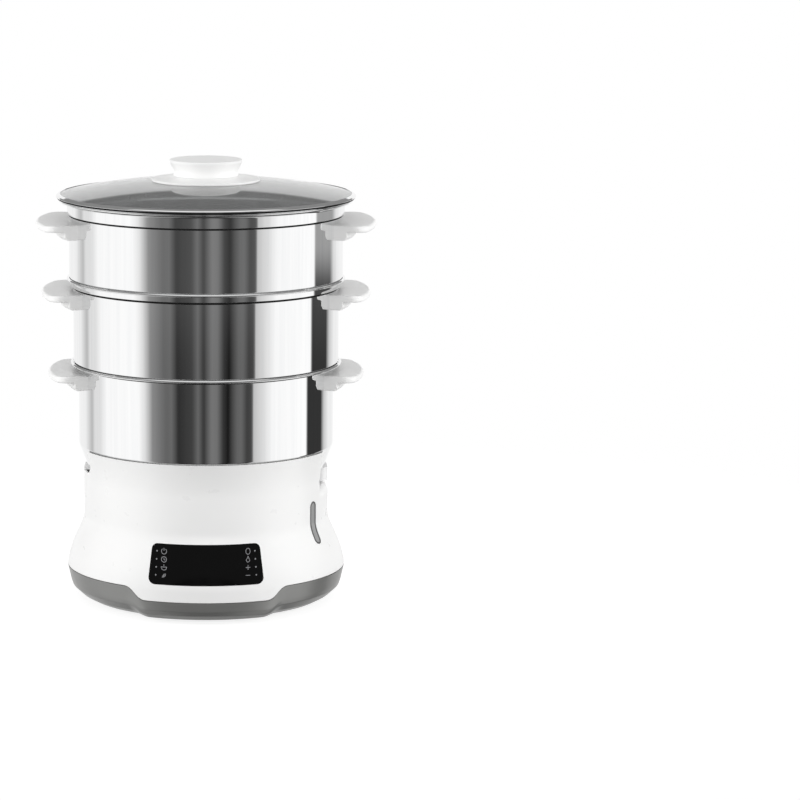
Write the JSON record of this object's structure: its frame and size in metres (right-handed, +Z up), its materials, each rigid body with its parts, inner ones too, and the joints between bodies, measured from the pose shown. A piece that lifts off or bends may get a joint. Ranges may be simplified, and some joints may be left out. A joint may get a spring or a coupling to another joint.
{
  "type": "electric food steamer",
  "caption": "Tabletop electric food steamer: base with water tank, heater and touch panel, juice tray, stacked steel bowls with perforated trays, and a domed glass lid with a knob.",
  "frame": {"origin": "on the floor, at the centre of the part's bounding box, under the axis of the bowls", "axes": "+Z up along the axis of the bowls, -Y towards the front with the touch panel, +X to the right seen from the front"},
  "size_m": [0.337, 0.2974, 0.4443],
  "materials": {
    "white_casing": "satin white moulded plastic",
    "white_handles": "satin white moulded plastic",
    "grey_skirt": "fine textured mid-grey plastic",
    "black_rubber": "matt",
    "polished_steel": "mirror polished stainless steel",
    "tray_steel": "satin stainless steel",
    "heater_steel": "satin stainless steel",
    "plated_steel": "zinc plated",
    "screw_steel": "stainless screws",
    "element_metal": "dull tube",
    "spring_metal": "plated spring wire",
    "tank_plastic": "smooth off-white plastic",
    "grey_plastic": "smooth grey plastic",
    "juice_plastic": "smooth light grey plastic",
    "silicone": "soft silicone",
    "dark_silicone": "soft silicone",
    "black_plastic": "moulded plastic",
    "component_black": "moulded component",
    "component_white": "moulded component",
    "component_yellow": "moulded component",
    "board_green": "solder masked board",
    "wire_brown": "insulated wire",
    "wire_red": "heat proof sleeve",
    "ribbon_grey": "flat cable",
    "display_black": "display",
    "panel_black": "gloss black",
    "window_clear": "clear plastic",
    "lid_glass": "clear tempered glass"
  },
  "bodies": {
    "base": {"base_housing": "white_casing", "base_skirt": "grey_skirt", "rubber_feet": "black_rubber", "casing_screws": "screw_steel", "water_tank": "tank_plastic", "tank_gasket": "silicone", "steam_ring": "grey_plastic", "heater_plate": "heater_steel", "heater_element": "element_metal", "heater_seal": "silicone", "heater_clamp_ring": "plated_steel", "heater_clamp_screws": "screw_steel", "thermostat": "component_black", "thermal_fuse": "component_white", "power_board": "board_green", "power_board_screws": "screw_steel", "relay": "component_black", "power_capacitor": "component_yellow", "terminal_block": "component_white", "mains_wires": "wire_brown", "heater_wires": "wire_red", "control_board": "board_green", "control_board_screws": "screw_steel", "display_module": "display_black", "control_panel": "panel_black", "touch_springs": "spring_metal", "buzzer": "component_black", "ribbon_cable": "ribbon_grey", "level_window": "window_clear", "level_window_gasket": "silicone", "cord_gland": "black_plastic", "cord_clamp": "black_plastic", "cord_clamp_screws": "screw_steel"},
    "juice_tray": {"juice_tray": "juice_plastic"},
    "bottom_bowl": {"bottom_bowl_shell": "polished_steel", "bottom_handle_left": "white_handles", "bottom_handle_right": "white_handles", "bottom_handle_screws": "screw_steel"},
    "bottom_tray": {"bottom_tray": "tray_steel"},
    "middle_bowl": {"middle_bowl_shell": "polished_steel", "middle_handle_left": "white_handles", "middle_handle_right": "white_handles", "middle_handle_screws": "screw_steel"},
    "middle_tray": {"middle_tray": "tray_steel"},
    "top_bowl": {"top_bowl_shell": "polished_steel", "top_handle_left": "white_handles", "top_handle_right": "white_handles", "top_handle_screws": "screw_steel"},
    "top_tray": {"top_tray": "tray_steel"},
    "lid": {"lid_glass": "lid_glass", "lid_rim_band": "polished_steel", "lid_knob": "white_handles", "knob_collar": "white_handles", "knob_gasket": "dark_silicone", "knob_washer": "plated_steel", "knob_screw": "screw_steel"}
  },
  "joints": [
    {"name": "juice_tray_lift", "type": "slide", "parent": "base", "child": "juice_tray", "axis": [0, 0, 1], "range_m": [0, 0.08]},
    {"name": "bottom_bowl_lift", "type": "slide", "parent": "juice_tray", "child": "bottom_bowl", "axis": [0, 0, 1], "range_m": [0, 0.1]},
    {"name": "middle_bowl_lift", "type": "slide", "parent": "bottom_bowl", "child": "middle_bowl", "axis": [0, 0, 1], "range_m": [0, 0.1]},
    {"name": "top_bowl_lift", "type": "slide", "parent": "middle_bowl", "child": "top_bowl", "axis": [0, 0, 1], "range_m": [0, 0.1]},
    {"name": "lid_lift", "type": "slide", "parent": "top_bowl", "child": "lid", "axis": [0, 0, 1], "range_m": [0, 0.12]},
    {"name": "bottom_tray_lift", "type": "slide", "parent": "bottom_bowl", "child": "bottom_tray", "axis": [0, 0, 1], "range_m": [0, 0.07]},
    {"name": "middle_tray_lift", "type": "slide", "parent": "middle_bowl", "child": "middle_tray", "axis": [0, 0, 1], "range_m": [0, 0.065]},
    {"name": "top_tray_lift", "type": "slide", "parent": "top_bowl", "child": "top_tray", "axis": [0, 0, 1], "range_m": [0, 0.085]}
  ]
}
